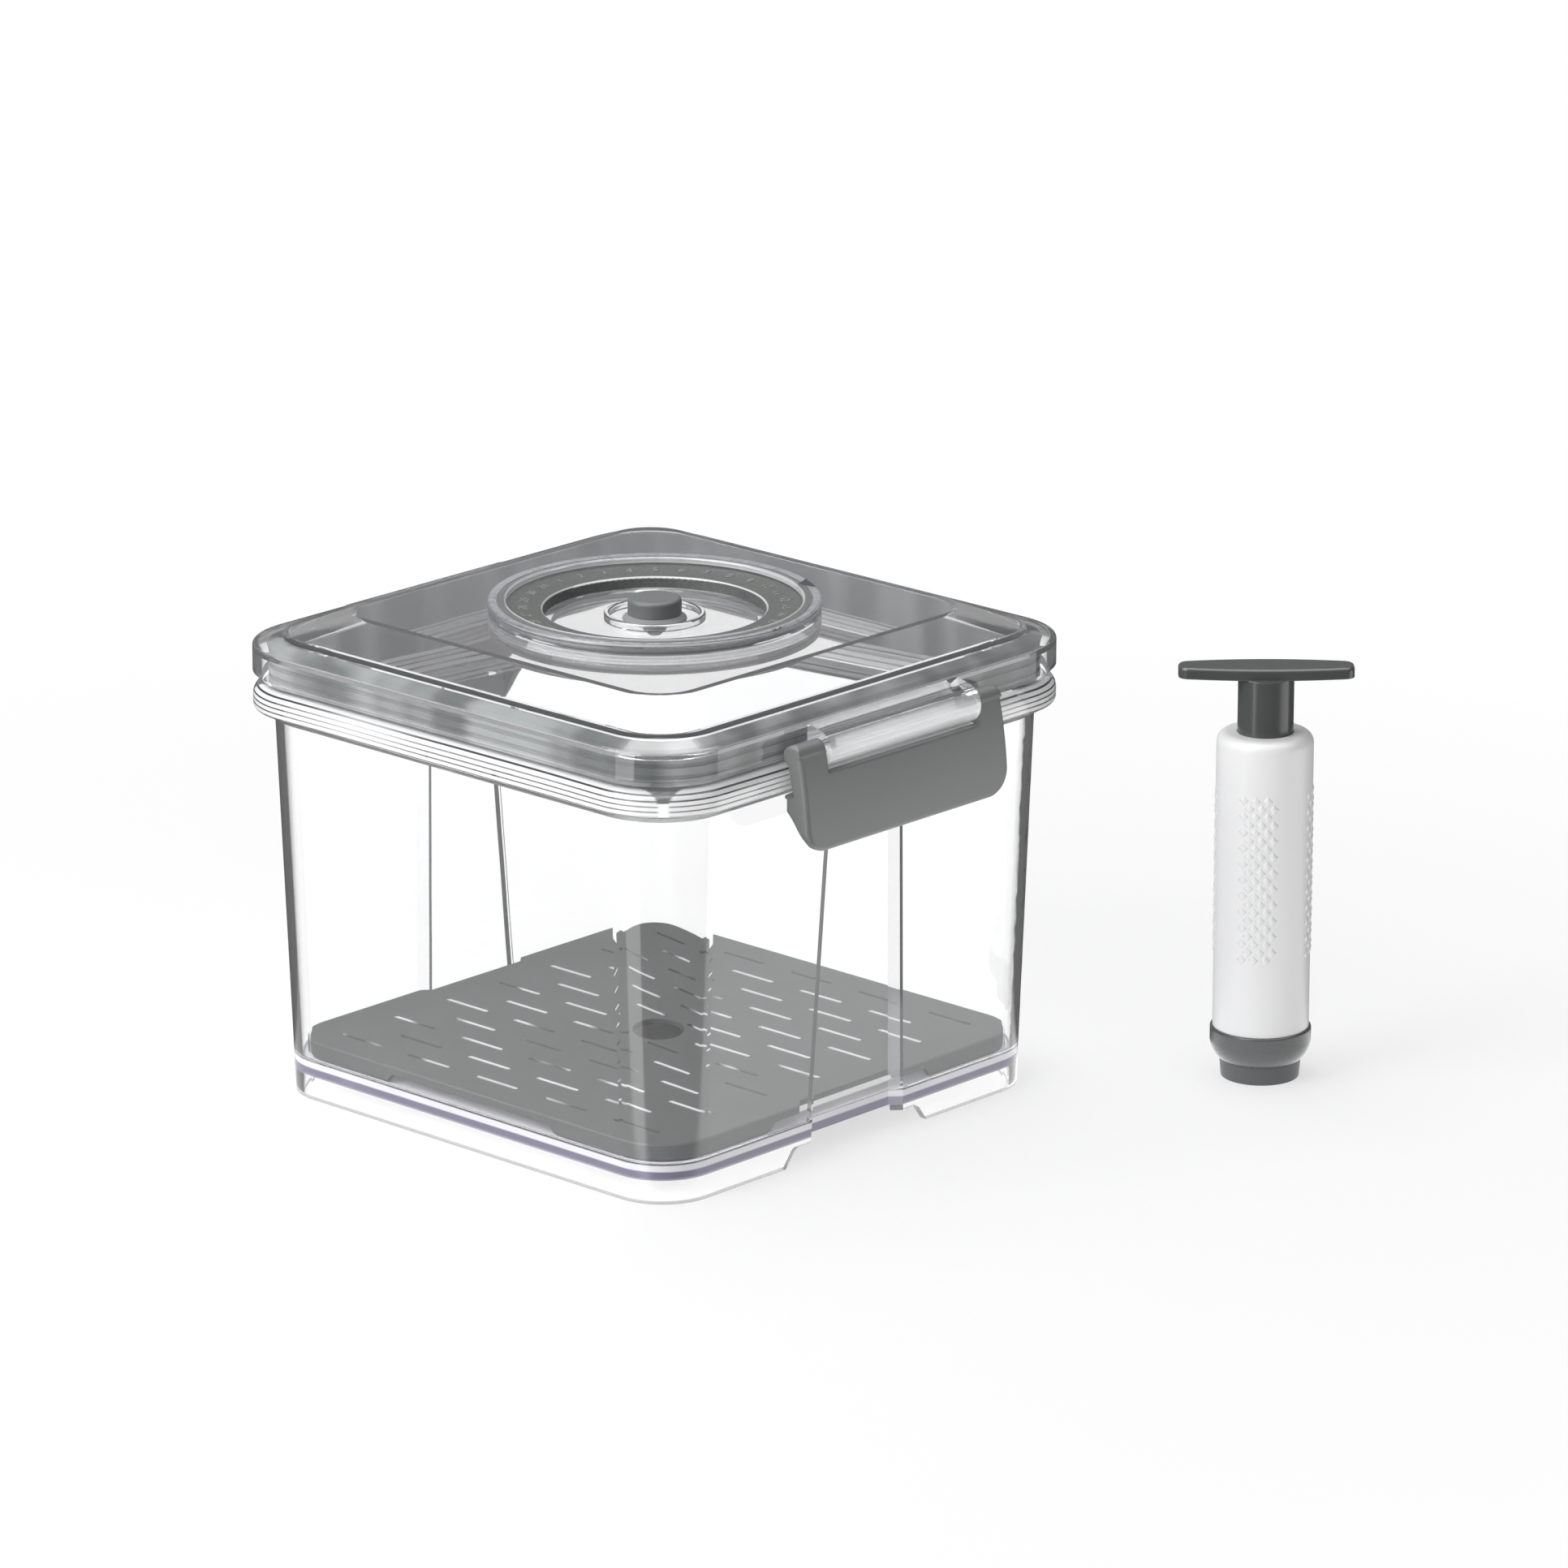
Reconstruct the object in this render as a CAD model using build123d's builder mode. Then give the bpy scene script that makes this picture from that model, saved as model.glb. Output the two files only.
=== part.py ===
from build123d import *
import math
import os

os.makedirs("parts", exist_ok=True)

# A square food canister with a clamped vacuum lid, and the hand pump that empties it.
# All lengths are millimetres. +Z is up, the origin is the middle of the canister's foot
# on the surface it stands on, and the latches face -Y (front) and +Y (back).

# Shared
overrun = 1.0              # how far a cutting shape runs past what it cuts
seat_gap = 0.1             # between pieces of one assembly that are pushed together
running_gap = 0.08         # on the radius of a bore in which something turns or slides
part_gap = 0.4             # between pieces that move past each other without touching

# Container body, a tapered tub on a short skirt
tub_height = 159.2
tub_draft = 2.15           # degrees that each wall leans out
tub_wall = 3.0
foot_corner = 21.5         # at the surface it stands on
floor_height = 9.2         # underside of the floor
floor_thickness = 5.3
tub_inner_fillet = 1.5     # between the floor and the walls

# Rim round the tub's mouth: a rounded bead over a sloping rib
bead_width = 228.0         # outside, the widest size of the tub
bead_reach = 6.32          # out from the walls, at the tub's top
bead_corner = 31.0
bead_height = 10.0
bead_top_fillet = 5.2
bead_bottom_fillet = 1.8
rib_height = 3.4
rib_inset = 1.0            # the rib's widest edge lies this far inside the bead

# Finger recess down the middle of the front and back walls
recess_depth = 3.7
recess_foot_width = 50.8
recess_head_width = 37.0
recess_head = 139.0        # height of its upper end
recess_slope = 48.0        # degrees from square that its sides lean
recess_fillet = 2.0

# Gap in the skirt under each recess
skirt_gap_foot_width = 78.0
skirt_gap_head_width = 66.0
skirt_gap_height = 7.0
skirt_gap_fillet = 3.0

# Drain tray on the floor
tray_gap = 2.0             # to the walls at the floor
tray_corner = 19.0
tray_height = 7.0
tray_plate = 2.2
tray_edge_wall = 2.0
tray_edge_lift = 3.9       # the skirt between the corner feet stops this far above the floor
tray_foot_reach = 44.0     # the raised stretch reaches this far each side of the middle
tray_lift_slope = 40.0     # degrees that the ends of the raised stretch lean
tray_foot_chamfer = 1.2
tray_top_fillet = 0.8
slot_length = 21.3
slot_width = 1.9
slot_columns = 13
slot_rows = 5              # in the columns that have a slot on the middle line
finger_hole_radius = 12.5

# Lid shell
lid_wall = 3.3
lid_plate = 3.0
lid_bottom_gap = 1.3       # from the rim's top up to the skirt's inner lower edge
lid_skirt_height = 13.1
lid_skirt_chamfer = 2.8
border_rise = 3.6
border_run = 10.0
border_ledge = 3.0         # flat strip inside the border's ridge
plateau_rise = 7.8
plateau_run = 17.0         # across its sloping sides
plateau_corner = 17.0
lid_edge_fillet = 1.6
ridge_fillet = 12.0
plateau_fillet = 4.0
plug_gap = 0.9             # between the plug rib and the tub's mouth
plug_thickness = 2.5
plug_reach = 2.2           # how far the plug rib goes down into the tub

# Lid gasket, a tall soft ring on the plug rib
gasket_side_gap = 2.2      # between its outside and the skirt
gasket_corner = 26.5
gasket_land = 1.2          # flat strip on its top, along its inner face
gasket_groove_count = 2
gasket_groove_depth = 1.0
gasket_groove_height = 1.6
gasket_edge_fillet = 0.7

# Date dial in the lid
dial_wall_radius = 61.6
dial_wall_thickness = 3.2
dial_wall_rise = 2.0       # of the wall above the plateau
trough_depth = 7.0         # from the plateau down to the trough's floor
well_depth = 4.0           # from the plateau down to the well's floor
well_radius = 41.2
ring_flange_thickness = 2.2
ring_sleeve_thickness = 2.0
ring_top_rise = 1.6        # of the ring's outer edge above the plateau
ring_dish = 1.4            # fall of its top from the outer edge to the inner one
ring_lip_fillet = 0.7
bezel_lip_reach = 3.7      # how far the bezel covers the ring
bezel_height = 2.0
bezel_rib_thickness = 0.8
bezel_rib_drop = 1.6
bezel_fillet = 0.9

# Valve in the middle of the lid
collar_radius = 18.8
collar_thickness = 2.0
collar_height = 2.6
collar_fillet = 0.6
button_radius = 10.0
button_height = 6.2
button_fillet = 1.4
flap_radius = 11.8
flap_thickness = 2.4
flap_edge = 1.1
flap_seat_depth = 0.4      # of the shallow round seat that the flap lies in
flap_seat_gap = 0.3        # round the flap
stem_radius = 3.0
stem_gap = 0.15            # on the radius, in the lid's hole
stud_height = 3.6          # of the stem inside the button
valve_travel = 2.0
barb_radius = 4.4
barb_height = 3.0
barb_edge = 0.7
vent_radius = 1.0
vent_circle = 7.2
vent_count = 6

# Hinge bar on the lid's front and back, and the latch that hangs on it
bar_radius = 7.3
bar_offset = 4.5           # of its axis outside the lid's skirt
bar_drop = 9.4             # of its axis below the skirt's upper edge
bar_length = 80.0
pin_radius = 2.4
pin_length = 6.0
latch_width = 107.6
latch_end_gap = 0.4        # between an ear and the end of the bar
ear_radius = 4.0
ear_reach = 4.8            # of the ears outside the hinge axis
latch_drop = 35.6          # from the hinge axis to the latch's lower edge
latch_flare = 9.1          # of the lower edge outside the hinge axis
latch_bulge = 8.0          # of the outer face halfway down, outside the hinge axis
latch_corner = 10.0
latch_top_corner = 2.0
latch_panel = 3.2
latch_lip = 4.0            # height of the plain strip under its side walls
latch_edge_fillet = 1.6
latch_scoop = 0.8          # how far the side walls' lower edge bows towards the panel
latch_nose_gap = 2.9       # from the bead out to the nose at the side walls' foot
latch_nose_height = 5.0
latch_side_wall = 3.0
latch_back_gap = 2.8       # between the side walls' upper end and the lid's skirt
latch_back_lean = 3.4      # how much further out their back edge is above the nose
hook_reach = 3.6           # of the hook's tip in under the rim's bead
hook_gap = 0.8             # from the hook up to the bead and the rib
hook_thickness = 2.6
hook_end_gap = 3.0         # between the hook and each side wall

# Hand pump, standing beside the canister
pump_x = 162.5
pump_y = -158.1
pump_turn = -46.9          # degrees, of its handle's bar about the pump's axis
cup_radius = 14.7          # the soft mouth
cup_flare = 0.6
cup_height = 7.1
cup_bore_radius = 12.3
cup_neck_radius = 12.9     # where it passes through the cap's floor
cup_throat_radius = 10.5
cup_flange_radius = 15.2   # above the cap's floor
cup_flange_height = 3.0
cap_radius = 19.0
cap_foot_radius = 15.5
cap_bulge_radius = 17.9    # partway up its shoulder
cap_bulge_height = 3.1
cap_shoulder = 6.9
cap_height = 12.6
cap_floor = 2.0
cap_wall = 2.0
cap_edge_fillet = 0.8
plate_height = 2.5
plate_hole_radius = 1.5
plate_hole_circle = 6.0
plate_hole_count = 4
umbrella_radius = 9.0
umbrella_edge = 0.6
umbrella_height = 1.2
umbrella_stem_radius = 1.6
umbrella_knob_radius = 2.3
umbrella_knob_height = 1.5
barrel_radius = 18.1
barrel_bore_radius = 15.7
barrel_height = 114.7      # showing above the cap
barrel_top_wall = 2.2
barrel_fillet = 4.0
neck_radius = 10.45
neck_wall = 2.0
neck_height = 21.5         # showing, with the handle pushed down
grip_length = 65.3
grip_depth = 16.0          # in the middle
grip_end_depth = 10.0
grip_height = 4.2
grip_corner = 4.0
grip_fillet = 1.2
post_radius = 5.0          # down the middle of the neck, to the piston
piston_rest_gap = 2.0      # above the inlet valve, with the handle pushed down
piston_height = 12.0
piston_gap = 0.6           # on the radius, to the barrel's bore
piston_hole_radius = 1.3
piston_hole_circle = 8.0
piston_hole_count = 4
seal_height = 4.0
seal_depth = 2.2
seal_lip = 1.2             # height of its sloping edges
seal_gap = 0.05            # on the radius, to the barrel's bore
flap_ring_radius = 10.2    # over the piston's holes
flap_ring_height = 0.8
flap_lift = 3.2            # room for the flap under the neck
screw_radius = 1.8
screw_length = 16.0
screw_head_radius = 3.6
screw_head_height = 1.6
screw_head_fillet = 0.4
screw_sink = 0.6           # of the head inside the piston
screw_slot_width = 0.8
screw_slot_depth = 0.7

# Worked-out sizes of the container
draft_tangent = math.tan(math.radians(tub_draft))
floor_top = floor_height + floor_thickness
bead_base = tub_height - bead_height
rib_base = bead_base - rib_height
bead_half = bead_width / 2
foot_half = bead_half - bead_reach - tub_height * draft_tangent


def tub_half(height):
    """Half the tub's outside width at a height."""
    return foot_half + height * draft_tangent


def tub_radius(height):
    """Corner radius of the tub's outside at a height."""
    return foot_corner + height * draft_tangent


def square(half, corner):
    """A rounded square in the current sketch."""
    return RectangleRounded(half + half, half + half, corner)


def face_plane(half_at_foot):
    """The plane of a front wall that leans with the draft."""
    lean = math.radians(tub_draft)
    return Plane(
        origin=(0, -half_at_foot, 0), x_dir=(1, 0, 0), z_dir=(0, -math.cos(lean), -math.sin(lean))
    )


def recess_outline(widen, head):
    """Corners of the finger recess, seen from the front."""
    foot = recess_foot_width / 2 + widen
    top = recess_head_width / 2 + widen
    return [(-foot, -overrun), (foot, -overrun), (top, head), (-top, head)]


# The finger recess as it is cut from the outside, and its bulge on the inside
with BuildPart() as recess_cut:
    with BuildSketch(face_plane(foot_half)):
        with BuildLine():
            Polyline(*recess_outline(0, recess_head), close=True)
        make_face()
        fillet(vertices().group_by(Axis.Y)[-1], recess_fillet)
    extrude(amount=-recess_depth, taper=recess_slope)
    mirror(about=Plane.XZ)

inner_foot_half = foot_half - tub_wall
with BuildPart() as recess_bulge:
    with BuildSketch(face_plane(inner_foot_half)):
        with BuildLine():
            Polyline(*recess_outline(tub_wall / 2, recess_head + tub_wall / 2), close=True)
        make_face()
        fillet(vertices().group_by(Axis.Y)[-1], recess_fillet)
    extrude(amount=-recess_depth, taper=recess_slope)
    mirror(about=Plane.XZ)

with BuildPart() as tub_cavity:
    with BuildSketch(Plane.XY.offset(floor_top)):
        square(tub_half(floor_top) - tub_wall, tub_radius(floor_top) - tub_wall)
    extrude(amount=tub_height - floor_top + overrun, taper=-tub_draft)
    fillet(faces().sort_by(Axis.Z)[0].edges(), tub_inner_fillet)
    add(recess_bulge.part, mode=Mode.SUBTRACT)

with BuildPart() as container_body:
    with BuildSketch(Plane.XY.offset(bead_base)):
        square(bead_half, bead_corner)
    extrude(amount=bead_height)
    fillet(faces().sort_by(Axis.Z)[-1].edges(), bead_top_fillet)
    fillet(faces().sort_by(Axis.Z)[0].edges(), bead_bottom_fillet)
    with BuildSketch(Plane.XY.offset(rib_base)):
        square(tub_half(rib_base), tub_radius(rib_base))
    rib_run = bead_half - rib_inset - tub_half(rib_base)
    extrude(amount=rib_height, taper=-math.degrees(math.atan(rib_run / rib_height)))
    with BuildSketch():
        square(foot_half, foot_corner)
    extrude(amount=tub_height, taper=-tub_draft)
    add(recess_cut.part, mode=Mode.SUBTRACT)
    add(tub_cavity.part, mode=Mode.SUBTRACT)
    with BuildSketch(Plane.XY.offset(-overrun)):
        square(inner_foot_half, foot_corner - tub_wall)
    extrude(amount=floor_height + overrun, mode=Mode.SUBTRACT)
    with BuildSketch(Plane.XZ):
        with BuildLine():
            Polyline(
                (-skirt_gap_foot_width / 2, -overrun),
                (skirt_gap_foot_width / 2, -overrun),
                (skirt_gap_head_width / 2, skirt_gap_height),
                (-skirt_gap_head_width / 2, skirt_gap_height),
                close=True,
            )
        make_face()
        fillet(vertices().group_by(Axis.Y)[-1], skirt_gap_fillet)
    extrude(amount=bead_half, both=True, mode=Mode.SUBTRACT)
container_body.part.label = "container_body"
export_step(container_body.part, "parts/container_body.step")

# Drain tray: a slotted plate on four corner feet
tray_half = tub_half(floor_top) - tub_wall - tray_gap
tray_notch_run = (recess_depth + tray_gap) * math.tan(math.radians(recess_slope))
tray_notch_gap = tray_gap / math.cos(math.radians(recess_slope))
tray_notch_mouth = (recess_foot_width + tub_wall) / 2 + tray_notch_gap
tray_top = floor_top + tray_height
slot_pitch_across = (tray_half + tray_half) / (slot_columns + 1)
slot_pitch_along = (tray_half + tray_half) / (slot_rows + 1 / 2)

with BuildPart() as drain_tray:
    with BuildSketch(Plane.XY.offset(floor_top)):
        square(tray_half, tray_corner)
    extrude(amount=tray_height)
    fillet(faces().sort_by(Axis.Z)[-1].edges(), tray_top_fillet)
    chamfer(faces().sort_by(Axis.Z)[0].edges(), tray_foot_chamfer)
    with BuildSketch(Plane.XY.offset(floor_top)):
        square(tray_half - tray_edge_wall, tray_corner - tray_edge_wall)
    extrude(amount=tray_height - tray_plate, mode=Mode.SUBTRACT)
    with BuildSketch(Plane.XY.offset(floor_top)):
        Rectangle(tray_foot_reach + tray_foot_reach, bead_width)
        Rectangle(bead_width, tray_foot_reach + tray_foot_reach)
    extrude(amount=tray_edge_lift, taper=tray_lift_slope, mode=Mode.SUBTRACT)
    with BuildSketch(Plane.XY.offset(floor_top)):
        with BuildLine():
            Polyline(
                (-tray_notch_mouth, -tray_half - tray_gap),
                (tray_notch_mouth, -tray_half - tray_gap),
                (tray_notch_mouth - tray_notch_run, -tray_half + recess_depth),
                (tray_notch_run - tray_notch_mouth, -tray_half + recess_depth),
                close=True,
            )
        make_face()
        mirror(about=Plane.XZ)
    extrude(amount=tray_height, mode=Mode.SUBTRACT)
    with BuildSketch(Plane.XY.offset(tray_top)):
        for column in range(slot_columns):
            across = (column - (slot_columns - 1) / 2) * slot_pitch_across
            rows = slot_rows - column % 2
            for row in range(rows):
                along = (row - (rows - 1) / 2) * slot_pitch_along
                if math.hypot(across, along) > finger_hole_radius:
                    with Locations((across, along)):
                        SlotOverall(slot_length, slot_width, rotation=90)
        Circle(finger_hole_radius)
    extrude(amount=-tray_height, mode=Mode.SUBTRACT)
drain_tray.part.label = "drain_tray"
export_step(drain_tray.part, "parts/drain_tray.step")

# Heights and half widths of the lid
lid_base = tub_height + lid_bottom_gap
skirt_top = lid_base + lid_skirt_height
border_top = skirt_top + border_rise
plateau_top = border_top + plateau_rise
border_roof = border_top - lid_plate
skirt_roof = skirt_top - lid_plate
plateau_roof = plateau_top - lid_plate
ridge_half = bead_half - border_run
ridge_corner = bead_corner - border_run
ledge_half = ridge_half - border_ledge
ledge_corner = ridge_corner - border_ledge
plateau_half = ledge_half - plateau_run
mouth_half = tub_half(tub_height) - tub_wall
mouth_corner = tub_radius(tub_height) - tub_wall
plug_half = mouth_half - plug_gap
plug_corner = mouth_corner - plug_gap
trough_floor = plateau_top - trough_depth
well_floor = plateau_top - well_depth
flap_seat = well_floor - flap_seat_depth
well_depth_step = well_floor - trough_floor
flap_top = flap_seat + flap_thickness
collar_top = well_floor + collar_height
dial_bore_radius = dial_wall_radius - dial_wall_thickness
dial_wall_top = plateau_top + dial_wall_rise
hinge_out = bead_half + bar_offset
hinge_height = skirt_top - bar_drop


def ruled(low_half, low_corner, low, high_half, high_corner, high, mode=Mode.ADD):
    """A solid between two rounded squares at two heights."""
    with BuildSketch(Plane.XY.offset(low)) as lower:
        square(low_half, low_corner)
    with BuildSketch(Plane.XY.offset(high)) as upper:
        square(high_half, high_corner)
    loft([lower.sketch, upper.sketch], ruled=True, mode=mode)


def disc(plane, radius, low, high, mode=Mode.ADD):
    """A round solid on a plane's axis between two heights."""
    with BuildSketch(plane.offset(low)) as round_face:
        Circle(radius)
    extrude(round_face.sketch, amount=high - low, mode=mode)


def turned(section, points, mode=Mode.ADD):
    """A solid turned about a section plane's upright axis from the corners of its outline."""
    with BuildSketch(section) as outline:
        with BuildLine():
            Polyline(*points, close=True)
        make_face()
    revolve(outline.sketch, axis=Axis(section.origin, section.y_dir), mode=mode)


# Hinge bars on the lid's front and back, each bored for the latch's pivots
with BuildPart() as hinge_bars:
    with BuildSketch(Plane.YZ):
        with Locations((-hinge_out, hinge_height)):
            Circle(bar_radius)
        with Locations((lid_wall / 2 - bead_half, (skirt_top + lid_base) / 2)):
            Rectangle(lid_wall, lid_skirt_height - lid_edge_fillet)
        make_hull()
    extrude(amount=bar_length / 2, both=True)
    with BuildSketch(Plane.YZ):
        with Locations((-hinge_out, hinge_height)):
            Circle(pin_radius + running_gap)
    extrude(amount=bar_length / 2 + overrun, both=True, mode=Mode.SUBTRACT)
    mirror(about=Plane.XZ)

# Lid shell
with BuildPart() as lid_shell:
    with BuildSketch(Plane.XY.offset(lid_base)):
        square(bead_half, bead_corner)
    extrude(amount=lid_skirt_height)
    chamfer(faces().sort_by(Axis.Z)[0].edges(), lid_skirt_chamfer)
    ruled(bead_half, bead_corner, skirt_top, ridge_half, ridge_corner, border_top)
    fillet(faces().sort_by(Axis.Z)[-1].edges(), ridge_fillet)
    fillet(edges().filter_by_position(Axis.Z, skirt_top, skirt_top), lid_edge_fillet)
    ruled(ledge_half, ledge_corner, border_top, plateau_half, plateau_corner, plateau_top)
    fillet(faces().sort_by(Axis.Z)[-1].edges(), plateau_fillet)
    # hollow underneath
    with BuildSketch(Plane.XY.offset(lid_base - overrun)):
        square(bead_half - lid_wall, bead_corner - lid_wall)
    extrude(amount=skirt_roof - lid_base + overrun, mode=Mode.SUBTRACT)
    ruled(
        bead_half - lid_wall, bead_corner - lid_wall, skirt_roof,
        plug_half, plug_corner, border_roof, Mode.SUBTRACT,
    )
    ruled(
        plug_half, plug_corner, border_roof,
        plateau_half - lid_plate / 2, plateau_corner, plateau_roof, Mode.SUBTRACT,
    )
    # the plug rib that goes down into the tub
    with BuildSketch(Plane.XY.offset(tub_height - plug_reach)):
        square(plug_half, plug_corner)
        offset(amount=-plug_thickness, kind=Kind.INTERSECTION, mode=Mode.SUBTRACT)
    extrude(amount=border_roof + lid_plate / 2 - tub_height + plug_reach)
    # the round dial wall, its trough, and the well inside it
    disc(Plane.XY, dial_wall_radius, trough_floor - lid_plate, dial_wall_top)
    disc(Plane.XY, dial_bore_radius, well_floor, dial_wall_top + overrun, Mode.SUBTRACT)
    with BuildSketch(Plane.XY.offset(trough_floor)):
        Circle(dial_bore_radius)
        Circle(well_radius, mode=Mode.SUBTRACT)
    extrude(amount=well_depth_step, mode=Mode.SUBTRACT)
    disc(
        Plane.XY, well_radius - lid_plate, trough_floor - lid_plate - overrun, well_floor - lid_plate,
        Mode.SUBTRACT,
    )
    # the collar round the valve, the hole for its stem and the vents beside it
    with BuildSketch(Plane.XY.offset(well_floor)):
        Circle(collar_radius)
        Circle(collar_radius - collar_thickness, mode=Mode.SUBTRACT)
    extrude(amount=collar_height)
    fillet(edges().filter_by_position(Axis.Z, collar_top, collar_top), collar_fillet)
    disc(Plane.XY, flap_radius + flap_seat_gap, flap_seat, flap_top, Mode.SUBTRACT)
    with BuildSketch(Plane.XY.offset(well_floor)):
        Circle(stem_radius + stem_gap)
        with PolarLocations(vent_circle, vent_count):
            Circle(vent_radius)
    extrude(amount=-lid_plate - overrun, mode=Mode.SUBTRACT)
    add(hinge_bars.part)
lid_shell.part.label = "lid_shell"
export_step(lid_shell.part, "parts/lid_shell.step")

# Lid gasket
gasket_half = bead_half - lid_wall - gasket_side_gap
gasket_inner_half = plug_half + seat_gap
gasket_land_half = gasket_inner_half + gasket_land
roof_slope = (border_roof - skirt_roof) / (bead_half - lid_wall - plug_half)
gasket_shoulder = skirt_roof + (bead_half - lid_wall - gasket_half) * roof_slope - seat_gap
gasket_top = skirt_roof + (bead_half - lid_wall - gasket_land_half) * roof_slope - seat_gap

with BuildPart() as lid_gasket:
    with BuildSketch(Plane.XY.offset(tub_height)):
        square(gasket_half, gasket_corner)
    extrude(amount=gasket_shoulder - tub_height)
    fillet(faces().sort_by(Axis.Z)[0].edges(), gasket_edge_fillet)
    ruled(
        gasket_half, gasket_corner, gasket_shoulder,
        gasket_land_half, plug_corner + seat_gap + gasket_land, gasket_top,
    )
    for groove in range(1, gasket_groove_count + 1):
        middle = tub_height + (gasket_shoulder - tub_height) * groove / (gasket_groove_count + 1)
        with BuildSketch(Plane.XY.offset(middle - gasket_groove_height / 2)):
            square(bead_half, bead_corner)
            RectangleRounded(
                gasket_half + gasket_half - gasket_groove_depth - gasket_groove_depth,
                gasket_half + gasket_half - gasket_groove_depth - gasket_groove_depth,
                gasket_corner - gasket_groove_depth, mode=Mode.SUBTRACT,
            )
        extrude(amount=gasket_groove_height, mode=Mode.SUBTRACT)
    with BuildSketch(Plane.XY.offset(tub_height - overrun)):
        square(gasket_inner_half, plug_corner + seat_gap)
    extrude(amount=gasket_top - tub_height + overrun + overrun, mode=Mode.SUBTRACT)
lid_gasket.part.label = "lid_gasket"
export_step(lid_gasket.part, "parts/lid_gasket.step")

# Bezel pushed into the dial wall, over the ring's outer edge
bezel_rib_radius = dial_bore_radius - seat_gap
bezel_lip_radius = dial_bore_radius - bezel_lip_reach
bezel_rib_inside = bezel_rib_radius - bezel_rib_thickness
bezel_top = dial_wall_top + bezel_height

with BuildPart() as dial_bezel:
    with BuildSketch(Plane.XZ):
        with BuildLine():
            Polyline(
                (bezel_lip_radius, dial_wall_top),
                (bezel_rib_inside, dial_wall_top),
                (bezel_rib_inside, dial_wall_top - bezel_rib_drop),
                (bezel_rib_radius, dial_wall_top - bezel_rib_drop),
                (bezel_rib_radius, dial_wall_top),
                (dial_wall_radius, dial_wall_top),
                (dial_wall_radius, bezel_top),
                (bezel_lip_radius, bezel_top),
                close=True,
            )
        make_face()
        fillet(vertices().group_by(Axis.Y)[-1], bezel_fillet)
    revolve(axis=Axis.Z)
dial_bezel.part.label = "dial_bezel"
export_step(dial_bezel.part, "parts/dial_bezel.step")

# Date ring that turns on the well's wall
ring_bore_radius = well_radius + running_gap
ring_sleeve_radius = ring_bore_radius + ring_sleeve_thickness
ring_radius = bezel_rib_inside - part_gap
ring_edge_top = plateau_top + ring_top_rise
ring_inner_top = ring_edge_top - ring_dish

with BuildPart() as date_ring:
    with BuildSketch(Plane.XZ):
        with BuildLine():
            Polyline(
                (ring_bore_radius, trough_floor),
                (ring_sleeve_radius, trough_floor),
                (ring_sleeve_radius, ring_inner_top - ring_flange_thickness),
                (ring_radius, ring_edge_top - ring_flange_thickness),
                (ring_radius, ring_edge_top),
                (ring_bore_radius, ring_inner_top),
                close=True,
            )
        make_face()
        fillet(vertices().group_by(Axis.Y)[-2].sort_by(Axis.X)[0], ring_lip_fillet)
    revolve(axis=Axis.Z)
date_ring.part.label = "date_ring"
export_step(date_ring.part, "parts/date_ring.step")

# Vacuum valve: a soft flap on the vents, with a hard button on its stud
stud_top = flap_top + stud_height
barb_top = well_floor - lid_plate - valve_travel - part_gap
barb_low = barb_top - barb_height

with BuildPart() as valve_seal:
    turned(
        Plane.XZ,
        [
            (0, barb_low),
            (barb_radius / 2, barb_low),
            (barb_radius, barb_top - barb_edge),
            (barb_radius, barb_top),
            (stem_radius, barb_top),
            (stem_radius, flap_seat),
            (flap_radius, flap_seat),
            (flap_radius, flap_seat + flap_edge),
            (button_radius, flap_top),
            (stem_radius, flap_top),
            (stem_radius, stud_top),
            (0, stud_top),
        ],
    )
valve_seal.part.label = "valve_seal"
export_step(valve_seal.part, "parts/valve_seal.step")

with BuildPart() as valve_button:
    disc(Plane.XY, button_radius, flap_top, flap_top + button_height)
    fillet(faces().sort_by(Axis.Z)[-1].edges(), button_fillet)
    disc(Plane.XY, stem_radius + seat_gap, flap_top - overrun, stud_top + seat_gap, Mode.SUBTRACT)
valve_button.part.label = "valve_button"
export_step(valve_button.part, "parts/valve_button.step")

# Clamp latch: drawn about its hinge axis, first number outwards, second number up
latch_plane = Plane(origin=(0, -hinge_out, hinge_height), x_dir=(0, -1, 0), z_dir=(-1, 0, 0))
rib_lean = math.atan2(rib_run, rib_height)
hook_top = bead_base - hook_gap
hook_shift = hook_gap / math.cos(rib_lean)
hook_shoulder = bead_half - rib_inset - hook_gap * math.tan(rib_lean) + hook_shift
hook_tip = bead_half - hook_reach
hook_tip_top = hook_top - (hook_shoulder - hook_tip) / math.tan(rib_lean)
hook_tip_low = hook_tip_top - hook_thickness / 2
nose_out = bead_half + latch_nose_gap
nose_low = hook_top - latch_nose_height
back_out = bead_half + latch_back_gap
notch_half = bar_length / 2 + latch_end_gap


def swing(out, height):
    """A point of the latch's section, from its distance out and its height."""
    return (out - hinge_out, height - hinge_height)


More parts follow.
